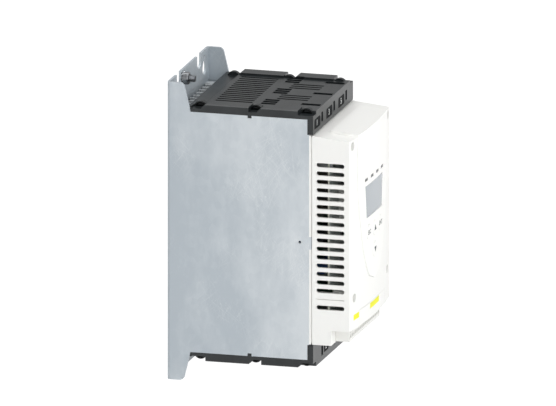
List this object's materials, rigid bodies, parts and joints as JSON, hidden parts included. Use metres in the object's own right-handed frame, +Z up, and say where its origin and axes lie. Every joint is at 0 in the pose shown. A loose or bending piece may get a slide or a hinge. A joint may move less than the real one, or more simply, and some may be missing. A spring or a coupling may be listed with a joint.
{
  "type": "soft starter",
  "caption": "Wall-mounted electronic motor soft starter: folded metal chassis with ears, black vented terminal covers and a white louvred front with display, keys and control terminals.",
  "frame": {"origin": "centre of the wall face of the back plate, midway between the four wall screws", "axes": "+X to the right as seen from the front, +Y into the wall, +Z up"},
  "size_m": [0.13, 0.169, 0.265],
  "materials": {
    "galvanised_sheet": "hot-dip galvanised, satin with faint spangle",
    "aluminium_profile": "extruded, bare",
    "plated_steel": "zinc plated",
    "dark_moulding": "moulded, matt",
    "copper": "bare copper, satin",
    "relay_case": "moulded, semi-gloss",
    "circuit_board": "solder-resist coated laminate",
    "brass_pillar": "turned",
    "transformer_core": "varnished lamination",
    "white_relay": "moulded",
    "black_plastic": "moulded, satin black",
    "marking_field": "satin black",
    "white_plastic": "moulded, fine satin",
    "white_cover": "moulded, fine satin",
    "display_pane": "clear",
    "display_cell": "liquid-crystal cell, semi-gloss",
    "display_frame": "moulded",
    "lamp_lens": "translucent smoke",
    "white_keys": "moulded, satin",
    "yellow_plastic": "moulded, matt yellow",
    "terminal_plastic": "moulded"
  },
  "bodies": {
    "base": {"chassis": "galvanised_sheet", "heat_sink": "aluminium_profile", "heat_sink_screws": "plated_steel", "earth_stud": "plated_steel", "earth_washer": "plated_steel", "earth_nut": "plated_steel", "thyristor_screws": "plated_steel", "busbar_screws": "plated_steel", "clamp_screws": "plated_steel", "board_screws": "plated_steel", "housing_screws": "plated_steel", "control_terminal_screws": "plated_steel", "line_clamp_1": "plated_steel", "line_clamp_2": "plated_steel", "line_clamp_3": "plated_steel", "load_clamp_1": "plated_steel", "load_clamp_2": "plated_steel", "load_clamp_3": "plated_steel", "thyristor_module_1": "dark_moulding", "thyristor_module_2": "dark_moulding", "thyristor_module_3": "dark_moulding", "current_transformer_1": "dark_moulding", "current_transformer_2": "dark_moulding", "current_transformer_3": "dark_moulding", "gate_transformers": "dark_moulding", "board_connector": "dark_moulding", "key_switches": "dark_moulding", "line_busbar_1": "copper", "line_busbar_2": "copper", "line_busbar_3": "copper", "load_busbar_1": "copper", "load_busbar_2": "copper", "load_busbar_3": "copper", "bypass_relay_1": "relay_case", "bypass_relay_2": "relay_case", "bypass_relay_3": "relay_case", "surge_absorbers": "relay_case", "power_board": "circuit_board", "control_board": "circuit_board", "board_pillars": "brass_pillar", "control_pillars": "brass_pillar", "supply_transformer": "transformer_core", "output_relays": "white_relay", "top_cover": "black_plastic", "bottom_cover": "black_plastic", "label_plates": "marking_field", "front_housing": "white_plastic", "terminal_flap": "white_plastic", "front_cover": "white_cover", "display_window": "display_pane", "display_glass": "display_cell", "display_holder": "display_frame", "status_light_pipes": "lamp_lens", "marker_inserts": "yellow_plastic", "control_terminal_block": "terminal_plastic"},
    "key_escape": {"key_escape": "white_keys"},
    "key_up": {"key_up": "white_keys"},
    "key_enter": {"key_enter": "white_keys"},
    "key_down": {"key_down": "white_keys"}
  },
  "joints": [
    {"name": "key_escape_press", "type": "slide", "parent": "base", "child": "key_escape", "axis": [0, 1, 0], "range_m": [0, 0.0008], "stiffness_N_per_m": 600, "springref_m": -0.001},
    {"name": "key_up_press", "type": "slide", "parent": "base", "child": "key_up", "axis": [0, 1, 0], "range_m": [0, 0.0008], "stiffness_N_per_m": 600, "springref_m": -0.001},
    {"name": "key_enter_press", "type": "slide", "parent": "base", "child": "key_enter", "axis": [0, 1, 0], "range_m": [0, 0.0008], "stiffness_N_per_m": 600, "springref_m": -0.001},
    {"name": "key_down_press", "type": "slide", "parent": "base", "child": "key_down", "axis": [0, 1, 0], "range_m": [0, 0.0008], "stiffness_N_per_m": 600, "springref_m": -0.001}
  ]
}
